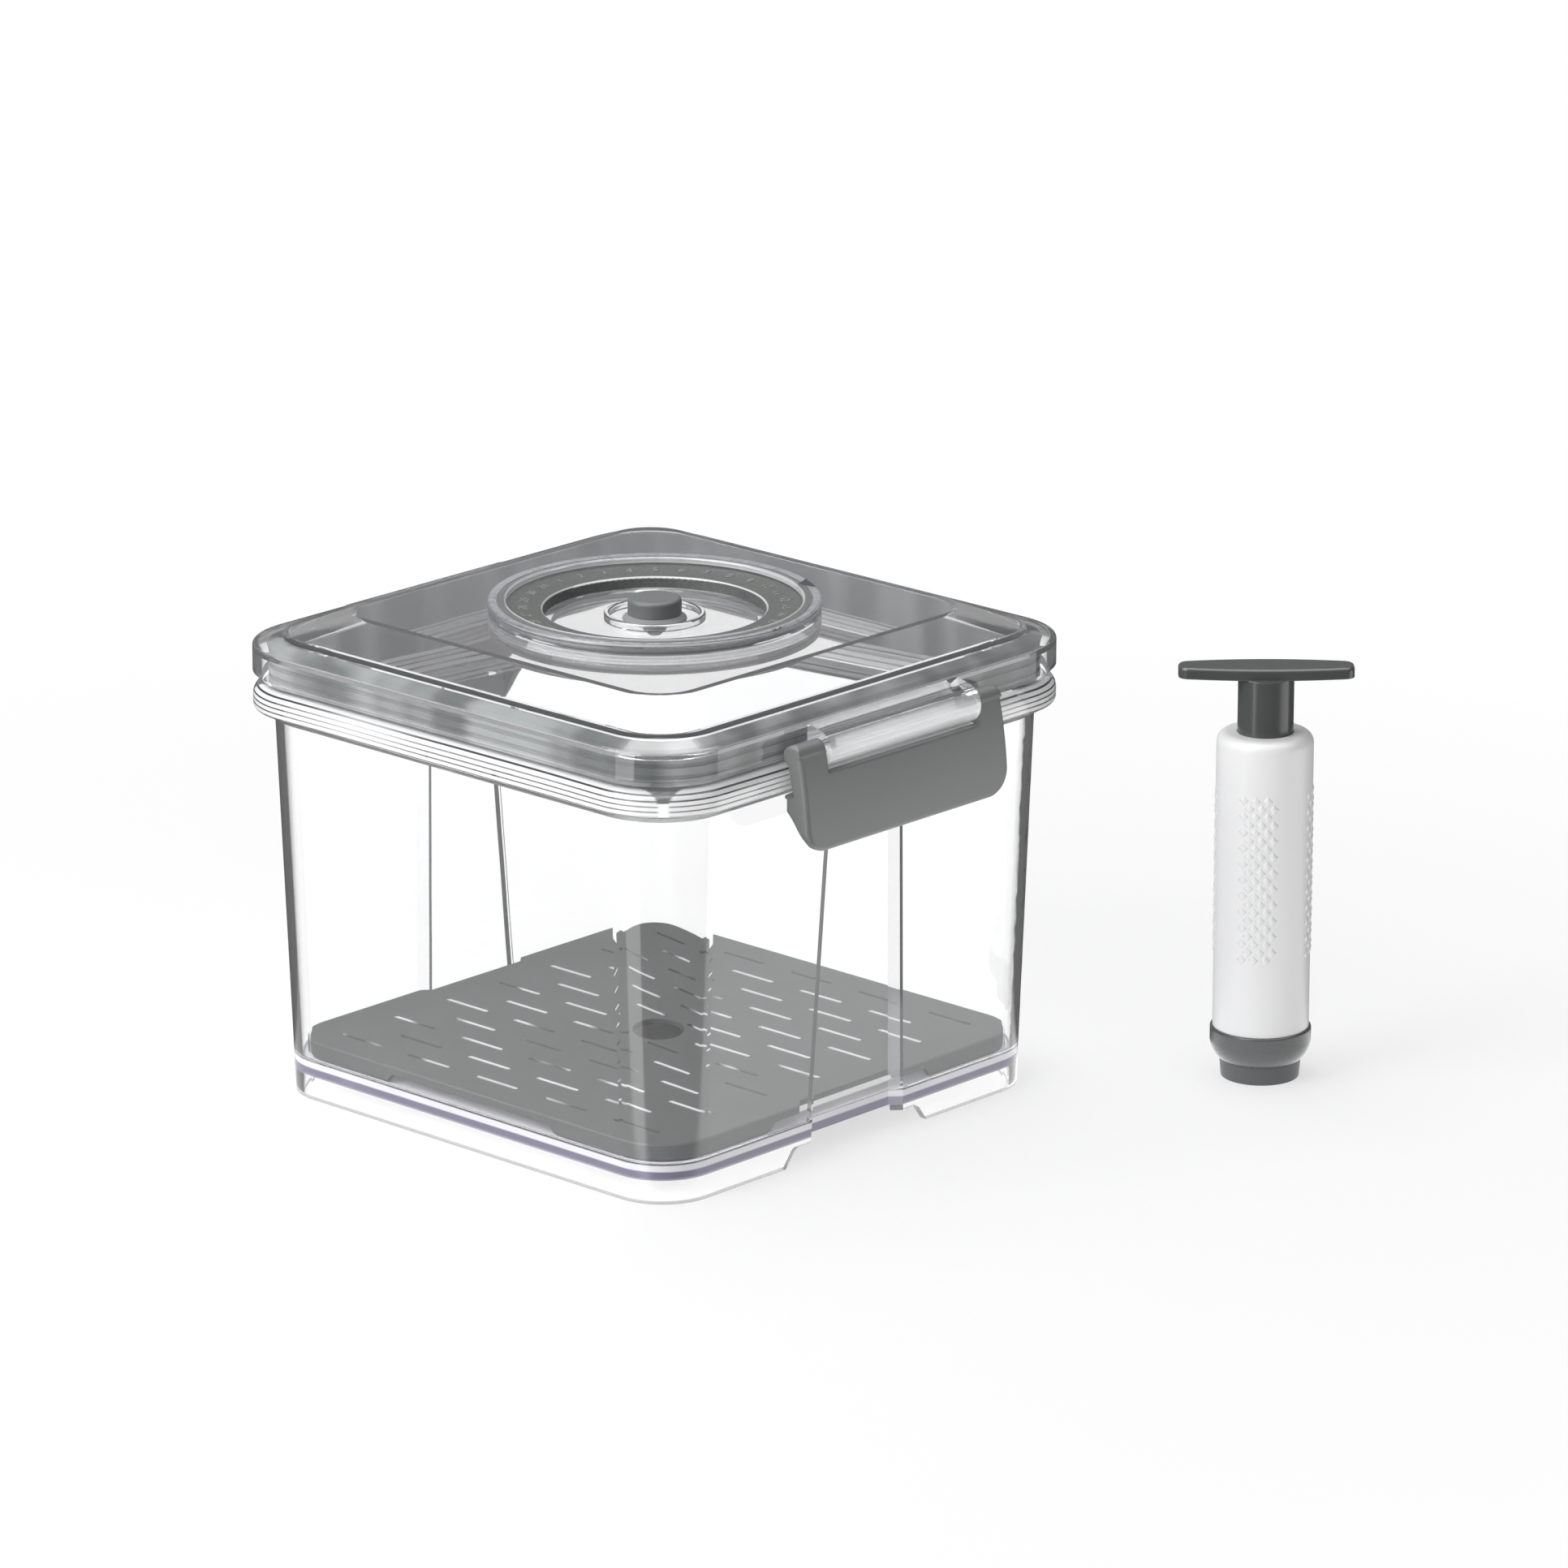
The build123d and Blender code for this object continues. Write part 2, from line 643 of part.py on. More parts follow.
with BuildPart() as latch_front:
    # outline of the side walls and the panel, filled
    with BuildSketch(latch_plane):
        with BuildLine():
            ThreePointArc(
                (ear_reach, 0), (latch_bulge, -latch_drop / 2), (latch_flare, -latch_drop)
            )
            Polyline(
                (latch_flare, -latch_drop),
                (latch_flare - latch_panel, -latch_drop),
                (latch_flare - latch_panel, latch_lip - latch_drop),
            )
            SagittaArc(
                (latch_flare - latch_panel, latch_lip - latch_drop),
                swing(nose_out, nose_low), -latch_scoop,
            )
            Polyline(
                swing(nose_out, nose_low),
                swing(nose_out, hook_top),
                swing(back_out + latch_back_lean, hook_top + hook_gap),
                swing(back_out, hinge_height),
                (ear_reach, 0),
            )
        make_face()
        with Locations((ear_reach - ear_radius, 0)):
            Circle(ear_radius)
    extrude(amount=latch_width / 2, both=True)
    # rounded lower corners, seen from the front
    with BuildSketch(Plane(origin=(0, -hinge_out, hinge_height), x_dir=(1, 0, 0), z_dir=(0, -1, 0))):
        with Locations((0, (ear_radius - latch_drop) / 2)):
            Rectangle(latch_width, latch_drop + ear_radius)
        fillet(vertices().group_by(Axis.Y)[0], latch_corner)
        fillet(vertices().group_by(Axis.Y)[-1], latch_top_corner)
    extrude(amount=latch_drop, both=True, mode=Mode.INTERSECT)
    fillet(faces().filter_by(GeomType.CYLINDER).sort_by(SortBy.AREA)[-1].edges(), latch_edge_fillet)
    # hollow behind the panel, below the ears
    with BuildSketch(latch_plane):
        with BuildLine():
            ThreePointArc(
                (ear_reach - latch_panel, 0),
                (latch_bulge - latch_panel, -latch_drop / 2),
                (latch_flare - latch_panel, -latch_drop),
            )
            Polyline(
                (latch_flare - latch_panel, -latch_drop),
                (latch_flare - latch_panel, -latch_drop - overrun),
                (-latch_drop, -latch_drop - overrun),
                (-latch_drop, 0),
                (ear_reach - latch_panel, 0),
            )
        make_face()
        Rectangle(bead_width, bar_radius + bar_radius, mode=Mode.SUBTRACT)
    extrude(amount=latch_width / 2 - latch_side_wall, both=True, mode=Mode.SUBTRACT)
    # notch round the hinge bar
    with BuildSketch(latch_plane):
        Rectangle(bead_width, bar_radius + bar_radius + part_gap + part_gap)
    extrude(amount=notch_half, both=True, mode=Mode.SUBTRACT)
    # hook under the rim's bead
    with BuildSketch(latch_plane):
        with BuildLine():
            Polyline(
                (latch_bulge - latch_panel / 2, hook_top - hinge_height),
                swing(hook_shoulder, hook_top),
                swing(hook_tip, hook_tip_top),
                swing(hook_tip, hook_tip_low),
                swing(hook_shoulder, hook_top - hook_thickness),
                (latch_bulge - latch_panel / 2, hook_top - hook_thickness - hinge_height),
                close=True,
            )
        make_face()
    extrude(amount=latch_width / 2 - latch_side_wall - hook_end_gap, both=True)
    # pivots that turn in the hinge bar's bore
    for side in (-1, 1):
        with BuildSketch(latch_plane.offset(side * notch_half)):
            Circle(pin_radius)
        extrude(amount=-side * pin_length)
latch_front.part.label = "latch_front"
export_step(latch_front.part, "parts/latch_front.step")

with BuildPart() as latch_back:
    mirror(latch_front.part, about=Plane.XZ)
latch_back.part.label = "latch_back"
export_step(latch_back.part, "parts/latch_back.step")

# Hand pump: its own upright plane and section plane, turned with its handle
turn = math.radians(pump_turn)
pump_plane = Plane(
    origin=(pump_x, pump_y, 0), x_dir=(math.cos(turn), math.sin(turn), 0), z_dir=(0, 0, 1)
)
pump_section = Plane(
    origin=(pump_x, pump_y, 0), x_dir=(math.cos(turn), math.sin(turn), 0),
    z_dir=(math.sin(turn), -math.cos(turn), 0),
)
cap_floor_top = cup_height + cap_floor
plate_low = cap_floor_top + cup_flange_height
plate_top = plate_low + plate_height
cap_top = cup_height + cap_height
cap_bore_radius = cap_radius - cap_wall
spigot_radius = cap_bore_radius - seat_gap
barrel_top = cap_top + barrel_height
umbrella_top = plate_top + umbrella_height
piston_low = umbrella_top + piston_rest_gap
piston_top = piston_low + piston_height
piston_radius = barrel_bore_radius - piston_gap
neck_low = piston_top + flap_lift
grip_low = barrel_top + neck_height
screw_seat = piston_low + screw_sink
screw_low = screw_seat - screw_head_height

with BuildPart() as suction_cup:
    turned(
        pump_section,
        [
            (cup_bore_radius, 0),
            (cup_radius, 0),
            (cup_radius + cup_flare, cup_height),
            (cup_neck_radius, cup_height),
            (cup_neck_radius, cap_floor_top),
            (cup_flange_radius, cap_floor_top),
            (cup_flange_radius, plate_low),
            (cup_throat_radius, plate_low),
            (cup_throat_radius, cup_height),
            (cup_bore_radius, cup_height - cap_floor),
        ],
    )
suction_cup.part.label = "suction_cup"
export_step(suction_cup.part, "parts/suction_cup.step")

with BuildPart() as pump_base_cap:
    with BuildSketch(pump_section):
        with BuildLine():
            Line((cup_neck_radius + seat_gap, cup_height), (cap_foot_radius, cup_height))
            ThreePointArc(
                (cap_foot_radius, cup_height),
                (cap_bulge_radius, cup_height + cap_bulge_height),
                (cap_radius, cup_height + cap_shoulder),
            )
            Polyline(
                (cap_radius, cup_height + cap_shoulder),
                (cap_radius, cap_top),
                (cap_bore_radius, cap_top),
                (cap_bore_radius, plate_low),
                (cup_flange_radius + seat_gap, plate_low),
                (cup_flange_radius + seat_gap, cap_floor_top),
                (cup_neck_radius + seat_gap, cap_floor_top),
                (cup_neck_radius + seat_gap, cup_height),
            )
        make_face()
    revolve(axis=Axis(pump_plane.origin, pump_plane.z_dir))
    cap_rim = edges().filter_by_position(Axis.Z, cap_top, cap_top)
    fillet(cap_rim.sort_by(SortBy.RADIUS)[-1], cap_edge_fillet)
pump_base_cap.part.label = "pump_base_cap"
export_step(pump_base_cap.part, "parts/pump_base_cap.step")

with BuildPart() as valve_plate:
    disc(pump_plane, spigot_radius, plate_low, plate_top)
    with BuildSketch(pump_plane.offset(plate_low)):
        Circle(umbrella_stem_radius + seat_gap)
        with PolarLocations(plate_hole_circle, plate_hole_count):
            Circle(plate_hole_radius)
    extrude(amount=plate_height, mode=Mode.SUBTRACT)
valve_plate.part.label = "valve_plate"
export_step(valve_plate.part, "parts/valve_plate.step")

knob_top = plate_low - seat_gap
with BuildPart() as intake_flap:
    turned(
        pump_section,
        [
            (0, knob_top - umbrella_knob_height),
            (umbrella_knob_radius / 2, knob_top - umbrella_knob_height),
            (umbrella_knob_radius, knob_top),
            (umbrella_stem_radius, knob_top),
            (umbrella_stem_radius, plate_top),
            (umbrella_radius, plate_top),
            (umbrella_radius, plate_top + umbrella_edge),
            (umbrella_knob_radius, umbrella_top),
            (0, umbrella_top),
        ],
    )
intake_flap.part.label = "intake_flap"
export_step(intake_flap.part, "parts/intake_flap.step")

with BuildPart() as pump_barrel:
    disc(pump_plane, barrel_radius, cap_top, barrel_top)
    fillet(faces().sort_by(Axis.Z)[-1].edges(), barrel_fillet)
    disc(pump_plane, spigot_radius, plate_top, cap_top)
    disc(pump_plane, barrel_bore_radius, plate_top - overrun, barrel_top - barrel_top_wall, Mode.SUBTRACT)
    disc(
        pump_plane, neck_radius + running_gap, barrel_top - barrel_top_wall - overrun, barrel_top + overrun,
        Mode.SUBTRACT,
    )
pump_barrel.part.label = "pump_barrel"
export_step(pump_barrel.part, "parts/pump_barrel.step")

with BuildPart() as pump_handle:
    with BuildSketch(pump_plane.offset(grip_low)):
        with BuildLine():
            grip_edge = ThreePointArc(
                (-grip_length / 2, grip_end_depth / 2),
                (0, grip_depth / 2),
                (grip_length / 2, grip_end_depth / 2),
            )
            mirror(grip_edge, about=Plane.XZ)
            for side in (-1, 1):
                Line(
                    (side * grip_length / 2, grip_end_depth / 2),
                    (side * grip_length / 2, -grip_end_depth / 2),
                )
        make_face()
        fillet(vertices(), grip_corner)
    extrude(amount=grip_height)
    fillet(faces().sort_by(Axis.Z)[-1].edges(), grip_fillet)
    disc(pump_plane, neck_radius, neck_low, grip_low)
    disc(pump_plane, neck_radius - neck_wall, neck_low - overrun, grip_low - neck_wall, Mode.SUBTRACT)
    disc(pump_plane, post_radius, piston_top, grip_low)
    disc(
        pump_plane, screw_radius + seat_gap, piston_top - overrun, screw_seat + screw_length + seat_gap,
        Mode.SUBTRACT,
    )
pump_handle.part.label = "pump_handle"
export_step(pump_handle.part, "parts/pump_handle.step")

seal_low = piston_low + (piston_height - seal_height) / 2
with BuildPart() as piston:
    disc(pump_plane, piston_radius, piston_low, piston_top)
    with BuildSketch(pump_plane.offset(seal_low - seat_gap)):
        Circle(barrel_radius)
        Circle(piston_radius - seal_depth, mode=Mode.SUBTRACT)
    extrude(amount=seal_height + seat_gap + seat_gap, mode=Mode.SUBTRACT)
    with BuildSketch(pump_plane.offset(piston_low - overrun)):
        Circle(screw_radius + seat_gap)
        with PolarLocations(piston_hole_circle, piston_hole_count):
            Circle(piston_hole_radius)
    extrude(amount=piston_height + overrun + overrun, mode=Mode.SUBTRACT)
    disc(pump_plane, screw_head_radius + seat_gap, piston_low - overrun, screw_seat, Mode.SUBTRACT)
piston.part.label = "piston"
export_step(piston.part, "parts/piston.step")

with BuildPart() as piston_seal:
    turned(
        pump_section,
        [
            (piston_radius - seal_depth + seat_gap, seal_low),
            (piston_radius, seal_low),
            (barrel_bore_radius - seal_gap, seal_low + seal_lip),
            (barrel_bore_radius - seal_gap, seal_low + seal_height - seal_lip),
            (piston_radius, seal_low + seal_height),
            (piston_radius - seal_depth + seat_gap, seal_low + seal_height),
        ],
    )
piston_seal.part.label = "piston_seal"
export_step(piston_seal.part, "parts/piston_seal.step")

with BuildPart() as exhaust_flap:
    with BuildSketch(pump_plane.offset(piston_top)):
        Circle(flap_ring_radius)
        Circle(post_radius + seat_gap, mode=Mode.SUBTRACT)
    extrude(amount=flap_ring_height)
exhaust_flap.part.label = "exhaust_flap"
export_step(exhaust_flap.part, "parts/exhaust_flap.step")

with BuildPart() as piston_screw:
    disc(pump_plane, screw_head_radius, screw_low, screw_seat)
    fillet(faces().sort_by(Axis.Z)[0].edges(), screw_head_fillet)
    disc(pump_plane, screw_radius, screw_seat, screw_seat + screw_length)
    for slot_turn in (0, 90):
        with BuildSketch(pump_plane.offset(screw_low)):
            Rectangle(screw_head_radius, screw_slot_width, rotation=slot_turn)
        extrude(amount=screw_slot_depth, mode=Mode.SUBTRACT)
piston_screw.part.label = "piston_screw"
export_step(piston_screw.part, "parts/piston_screw.step")
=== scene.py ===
import math

import bmesh
import bpy
from mathutils import Matrix, Vector


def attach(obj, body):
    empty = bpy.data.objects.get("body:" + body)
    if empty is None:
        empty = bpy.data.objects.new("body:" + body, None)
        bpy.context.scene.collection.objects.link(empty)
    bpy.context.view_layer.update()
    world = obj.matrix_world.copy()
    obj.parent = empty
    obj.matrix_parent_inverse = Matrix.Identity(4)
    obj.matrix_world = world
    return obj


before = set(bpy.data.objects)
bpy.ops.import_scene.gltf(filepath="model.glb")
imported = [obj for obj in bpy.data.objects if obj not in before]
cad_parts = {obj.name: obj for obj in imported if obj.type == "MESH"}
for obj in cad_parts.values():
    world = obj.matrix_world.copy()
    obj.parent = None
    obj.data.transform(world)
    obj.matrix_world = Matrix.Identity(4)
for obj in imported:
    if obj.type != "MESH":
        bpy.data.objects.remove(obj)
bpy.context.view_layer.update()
scene = bpy.context.scene
print("loaded", len(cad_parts), "nodes")


# Shader helpers: sums on sockets, and one method for every other node

class Signal:
    def __init__(self, finish, socket):
        self.finish = finish
        self.socket = socket

    def join(self, operation, *values):
        made = self.finish.add("ShaderNodeMath", {"operation": operation})
        for place, value in enumerate(values):
            self.finish.feed(made.inputs[place], value)
        return Signal(self.finish, made.outputs[0])

    def __add__(self, other):
        return self.join("ADD", self, other)

    def __radd__(self, other):
        return self.join("ADD", other, self)

    def __sub__(self, other):
        return self.join("SUBTRACT", self, other)

    def __rsub__(self, other):
        return self.join("SUBTRACT", other, self)

    def __mul__(self, other):
        return self.join("MULTIPLY", self, other)

    def __rmul__(self, other):
        return self.join("MULTIPLY", other, self)

    def __pow__(self, other):
        return self.join("POWER", self, other)

    def __abs__(self):
        return self.join("ABSOLUTE", self)

    def larger(self, other):
        return self.join("MAXIMUM", self, other)

    def radius(self, other):
        # how far from the middle a place lies, from its two level coordinates
        return (self * self + other * other) ** 0.5

    def zigzag(self):
        # 0 at whole numbers and 1 half way between them
        return self.join("PINGPONG", self, 0.5) * 2

    def swing(self, amount):
        # a noise lies round a half: this is what it adds to a value or takes from it
        return amount * (self - 0.5)

    # Masks: 0 on one side of a level and 1 on the other, with a soft step

    def above(self, level, soft):
        made = self.finish.add(
            "ShaderNodeMapRange", {"interpolation_type": "SMOOTHSTEP"},
            {"Value": self, "From Min": level - soft, "From Max": level + soft},
        )
        return Signal(self.finish, made.outputs["Result"])

    def below(self, level, soft):
        return 1 - self.above(level, soft)

    def between(self, low, high, soft):
        return self.above(low, soft) * self.below(high, soft)


class Finish:
    def __init__(self, name, owner=None):
        self.owner = owner or bpy.data.materials.new(name)
        self.owner.use_nodes = True
        self.tree = self.owner.node_tree
        self.tree.nodes.clear()

    def add(self, kind, settings=None, sockets=None):
        made = self.tree.nodes.new(kind)
        for name, value in (settings or {}).items():
            setattr(made, name, value)
        for name, value in (sockets or {}).items():
            self.feed(made.inputs[name], value)
        return made

    def feed(self, socket, value):
        if isinstance(value, Signal):
            self.tree.links.new(value.socket, socket)
        elif isinstance(value, bpy.types.NodeSocket):
            self.tree.links.new(value, socket)
        elif isinstance(value, tuple) and len(value) == 3 and socket.type == "RGBA":
            socket.default_value = (*value, 1)
        else:
            socket.default_value = value

    def split(self, output="Object"):
        # one of the coordinates of the surface, as its x, y and z
        where = self.add("ShaderNodeTexCoord").outputs[output]
        parts = self.add("ShaderNodeSeparateXYZ", None, {0: where})
        return [Signal(self, out) for out in parts.outputs]

    def rays(self, *names):
        path = self.add("ShaderNodeLightPath")
        return [Signal(self, path.outputs[name]) for name in names]

    def noise(self, scale, detail=2.0, rough=0.5, where=None):
        where = where or self.add("ShaderNodeTexCoord").outputs["Object"]
        made = self.add(
            "ShaderNodeTexNoise", None,
            {"Vector": where, "Scale": scale, "Detail": detail, "Roughness": rough},
        )
        return Signal(self, made.outputs["Fac"])

    def blend(self, amount, first, second):
        made = self.add("ShaderNodeMix", {"data_type": "RGBA"}, {0: amount, 6: first, 7: second})
        return made.outputs[2]

    def bump(self, height, depth, under=None):
        sockets = {"Height": height, "Distance": depth, "Strength": 1.0}
        if under is not None:
            sockets["Normal"] = under
        return self.add("ShaderNodeBump", None, sockets).outputs["Normal"]

    def softEdge(self, radius):
        return self.add("ShaderNodeBevel", {"samples": 6}, {"Radius": radius}).outputs["Normal"]

    def surface(self, sockets):
        return self.add("ShaderNodeBsdfPrincipled", None, sockets).outputs["BSDF"]

    def plastic(self, colour, roughness, normal=None):
        sockets = {"Base Color": colour, "Roughness": roughness, "IOR": 1.5}
        if normal is not None:
            sockets["Normal"] = normal
        return self.surface(sockets)

    def grained(self, look, grain, colour, roughness):
        # plastic or rubber with a fine grain, its edges rounded
        edges = self.softEdge(look["edge"])
        rough = roughness + grain.swing(look["roughnessChange"])
        return self.plastic(colour, rough, self.bump(grain, look["grainDepth"], edges))

    def cover(self, amount, under, over):
        return self.add("ShaderNodeMixShader", None, {0: amount, 1: under, 2: over}).outputs[0]

    def end(self, shader):
        self.add("ShaderNodeOutputMaterial", None, {"Surface": shader})
        return self.owner


def makeObject(name, mesh, finish):
    data = bpy.data.meshes.new(name)
    mesh.to_mesh(data)
    mesh.free()
    data.materials.append(finish)
    made = bpy.data.objects.new(name, data)
    scene.collection.objects.link(made)
    return made


# Camera at the photograph's angle

cameraSetup = {
    "azimuth": -46.944,         # degrees
    "elevation": 17.115,
    "distance": 3.2571,
    "targetHeight": 0.0798,
    "shiftRight": 0.04765867,
    "shiftUp": 0.035555266,
    "lens": 200.97,
    "sensor": 36.0,
    "nearest": 0.05,
    "farthest": 100,
}


def makeCamera():
    look = cameraSetup
    turn = math.radians(look["azimuth"])
    rise = math.radians(look["elevation"])
    back = Vector((math.sin(turn) * math.cos(rise), -math.cos(turn) * math.cos(rise), math.sin(rise)))
    right = Vector((math.cos(turn), math.sin(turn), 0))
    up = back.cross(right)
    data = bpy.data.cameras.new("photoCamera")
    data.lens = look["lens"]
    data.sensor_width = look["sensor"]
    data.clip_start = look["nearest"]
    data.clip_end = look["farthest"]
    camera = bpy.data.objects.new("photoCamera", data)
    scene.collection.objects.link(camera)
    camera.matrix_world = Matrix((
        (right.x, up.x, back.x, 0),
        (right.y, up.y, back.y, 0),
        (right.z, up.z, back.z, 0),
        (0, 0, 0, 1),
    ))
    camera.location = (
        back * look["distance"] + Vector((0, 0, look["targetHeight"]))
        + right * look["shiftRight"] + up * look["shiftUp"]
    )
    scene.camera = camera
    return back, right


toCamera, toRight = makeCamera()
print("camera set")


# Studio: a pale floor, a white surround and soft lamps
# A setting for a mask gives its level, or its lowest and highest, and how soft its border is

studio = {
    "throughGain": 1.30,        # makes up for what the clear walls take from the white behind
    "innerTurns": (0.5, 0.1),   # light that was mirrored more often is turned back inside the plastic
    "lightBounces": 24,
    "lampAim": (0.03, -0.03, 0.09),
}
lamps = {
    # name: direction in camera terms (right, up, towards camera), distance, size, power
    "keyLeft": ((-1.0, 0.75, 0.65), 1.5, 0.9, 12.5),
    "fillRight": ((1.0, 0.55, 0.75), 1.8, 1.0, 1.0),
    "topBox": ((0.0, 1.0, -0.25), 1.6, 1.1, 5.5),
}
floorLook = {
    "size": 14.0,
    "colour": (0.93, 0.93, 0.93),
    "glow": 0.62,               # share of the floor's white that no shadow can darken
    "shadowReach": (0.45, 0.25),    # metres from the canister's middle
    "trayShade": (0.050, 0.025),    # radius of a painted shadow on the ground under the tray
    "shadeBack": 0.030,         # and how far behind the middle that lies
    "shadeDepth": 0.95,
    "innerDark": 0.12,          # brightness that light turned back inside the plastic sees
    # polished walls mirror a white card on each side, and dark in front and behind
    "mirrorDark": 0.10,
    "frontCorner": 0.141,       # metres from the middle to the corner that faces the camera
    "cardEdge": 0.15,
    "cardSoft": 0.012,
    "leftCard": (0.0, 0.001),   # to the left of this, where it spreads out to the front
    "leftCardSpread": 1.2,
    "keyCard": 3.6,             # the front end of the left card is a lamp
    "keyCardStart": 0.5,
    "rightCard": (0.02, 0.02),  # bright to the right of this
    "rightCardBright": 2.2,
}


def makeFloor():
    look = floorLook
    mesh = bmesh.new()
    bmesh.ops.create_grid(mesh, x_segments=1, y_segments=1, size=look["size"] / 2)
    finish = Finish("paleFloor")
    x, y = finish.split()[:2]
    camera, glossy, bent, turns = finish.rays(
        "Is Camera Ray", "Is Glossy Ray", "Is Transmission Ray", "Glossy Depth",
    )
    glossy = glossy * (1 - bent)        # light that goes through counts as glossy too
    inner = bent * turns.above(*studio["innerTurns"])

    level = Vector((toCamera.x, toCamera.y)).normalized()
    across = x * toRight.x + y * toRight.y
    near = x * level.x + y * level.y
    soft = look["cardSoft"]
    spread = look["cardEdge"] + look["leftCardSpread"] * across.below(*look["leftCard"])
    card = (near - look["frontCorner"] - abs(across) * spread).below(0.0, soft)
    card = card * (near + abs(across) * look["cardEdge"]).above(-soft, soft)
    lit = (near - look["frontCorner"] - abs(across) * look["keyCardStart"]).above(0.0, soft)
    card = card * (1 + (look["keyCard"] - 1) * lit)
    card = card * (1 + (look["rightCardBright"] - 1) * across.above(*look["rightCard"]))

    far = x.radius(y).above(*look["shadowReach"])
    # painted shadow: a dark disc on the ground, left out for rays straight from the camera
    under = (near + look["shadeBack"]).radius(across).below(*look["trayShade"])
    share = look["glow"] + (1 - look["glow"]) * far
    share = share * (1 - look["shadeDepth"] * under * (1 - camera))
    share = share + (1 - share) * (inner + glossy)
    ground = finish.add("ShaderNodeBsdfDiffuse", None, {"Color": look["colour"]})
    glow = finish.add("ShaderNodeEmission", None, {
        "Color": (1.0, 1.0, 1.0),
        "Strength": (
            1 + (studio["throughGain"] - 1) * bent
            - (studio["throughGain"] - look["innerDark"]) * inner
            - (1 - look["mirrorDark"]) * (1 - card) * glossy
        ),
    })
    pale = finish.end(finish.cover(share, ground.outputs[0], glow.outputs[0]))
    floor = makeObject("floor", mesh, pale)


# Levels here are cosines of the angle to the direction that is named
skyLook = {
    "grey": 0.285,
    "dark": 0.16,               # brightness of the flags
    "flagSides": (0.72, 0.12),
    "flagTop": (0.45, 0.15),
    "roof": (0.5, 0.15),        # seen through the plastic, the surround is grey above this
    "boxBright": 3.6,           # soft boxes as polished surfaces show them
    "boxInside": 0.8,           # and as light turned back inside the plastic does
    "leftBox": (0.86, 0.05),
    "leftBoxNear": 0.5,         # how far it stands towards the camera, and up
    "leftBoxUp": 0.7,
    "roofBox": (0.76, 0.05),
    "ambient": 0.55,
    "ambientLean": 0.85,        # how much more of it comes from the left
}


def makeSky():
    # white for the camera and straight through the plastic; a grey studio with soft boxes in its gloss
    look = skyLook
    world = bpy.data.worlds.new("studioSky")
    scene.world = world
    sky = Finish("studioSky", world)
    way = sky.add("ShaderNodeTexCoord").outputs["Generated"]
    camera, glossy, bent, turns = sky.rays(
        "Is Camera Ray", "Is Glossy Ray", "Is Transmission Ray", "Glossy Depth",
    )

    def towards(vector):
        sockets = {0: way, 1: tuple(vector)}
        made = sky.add("ShaderNodeVectorMath", {"operation": "DOT_PRODUCT"}, sockets)
        return Signal(sky, made.outputs["Value"])

    glossy = glossy * (1 - bent)
    level = Vector((toCamera.x, toCamera.y, 0)).normalized()
    height = towards(Vector((0, 0, 1)))
    toLeftBox = -toRight + level * look["leftBoxNear"] + Vector((0, 0, look["leftBoxUp"]))
    boxes = towards(toLeftBox.normalized()).above(*look["leftBox"]) + height.above(*look["roofBox"])
    flags = abs(towards(toRight)).above(*look["flagSides"]) * height.below(*look["flagTop"])
    room = look["grey"] * (1 - flags) + look["dark"] * flags
    through = studio["throughGain"] - height.above(*look["roof"]) * (studio["throughGain"] - look["grey"])
    inner = turns.above(*studio["innerTurns"])
    bentTone = through * (1 - inner) + (room + boxes * look["boxInside"]) * inner
    other = 1 - camera - glossy - bent
    soft = look["ambient"] * (1 - look["ambientLean"] * towards(toRight))
    strength = camera + glossy * (room + boxes * look["boxBright"]) + bent * bentTone + other * soft
    lit = sky.add("ShaderNodeBackground", None, {"Color": (1.0, 1.0, 1.0), "Strength": strength})
    sky.add("ShaderNodeOutputWorld", None, {"Surface": lit.outputs[0]})


def makeLamps():
    aim = Vector(studio["lampAim"])
    for name, (way, distance, size, power) in lamps.items():
        direction = (toRight * way[0] + Vector((0, 0, 1)) * way[1] + toCamera * way[2]).normalized()
        data = bpy.data.lights.new(name, "AREA")
        data.shape = "SQUARE"
        data.size = size
        data.energy = power
        lamp = bpy.data.objects.new(name, data)
        lamp.location = aim + direction * distance
        lamp.rotation_mode = "QUATERNION"
        lamp.rotation_quaternion = direction.to_track_quat("Z", "Y")
        scene.collection.objects.link(lamp)


makeFloor()
makeSky()
makeLamps()
scene.cycles.max_bounces = studio["lightBounces"]
scene.cycles.transmission_bounces = studio["lightBounces"]
scene.cycles.transparent_max_bounces = studio["lightBounces"]
scene.view_settings.view_transform = "Standard"
print("studio lit")


# Clear pieces: moulded clear plastic, slightly uneven, that lets lamp light through to what is inside

clearPieces = {
    "roughLeast": 0.6,          # share of a piece's roughness where it has no haze
    "roughHaze": 0.8,           # and the share that full haze adds
    "milkRoughness": 0.3,
}


def clearPlastic(name, look, dress):
    finish = Finish(name)
    waves = finish.noise(look["waveScale"], detail=1.0)
    haze = finish.noise(look["hazeScale"], detail=3.0)
    uneven = clearPieces["roughLeast"] + clearPieces["roughHaze"] * haze
    shader = finish.surface({
        "Base Color": finish.blend(haze, look["tint"], look["tintDeep"]),
        "Roughness": look["roughness"] * uneven,
        "IOR": look["ior"],
        "Transmission Weight": 1.0,
        "Normal": finish.bump(waves, look["waveDepth"]),
    })
    milk = finish.plastic(look["milkColour"], clearPieces["milkRoughness"])
    shader = dress(finish, look, finish.cover(look["milk"], shader, milk))
    passing = finish.add("ShaderNodeBsdfTransparent", None, {"Color": look["shade"]})
    shadow, = finish.rays("Is Shadow Ray")
    return finish.end(finish.cover(shadow, shader, passing.outputs[0]))


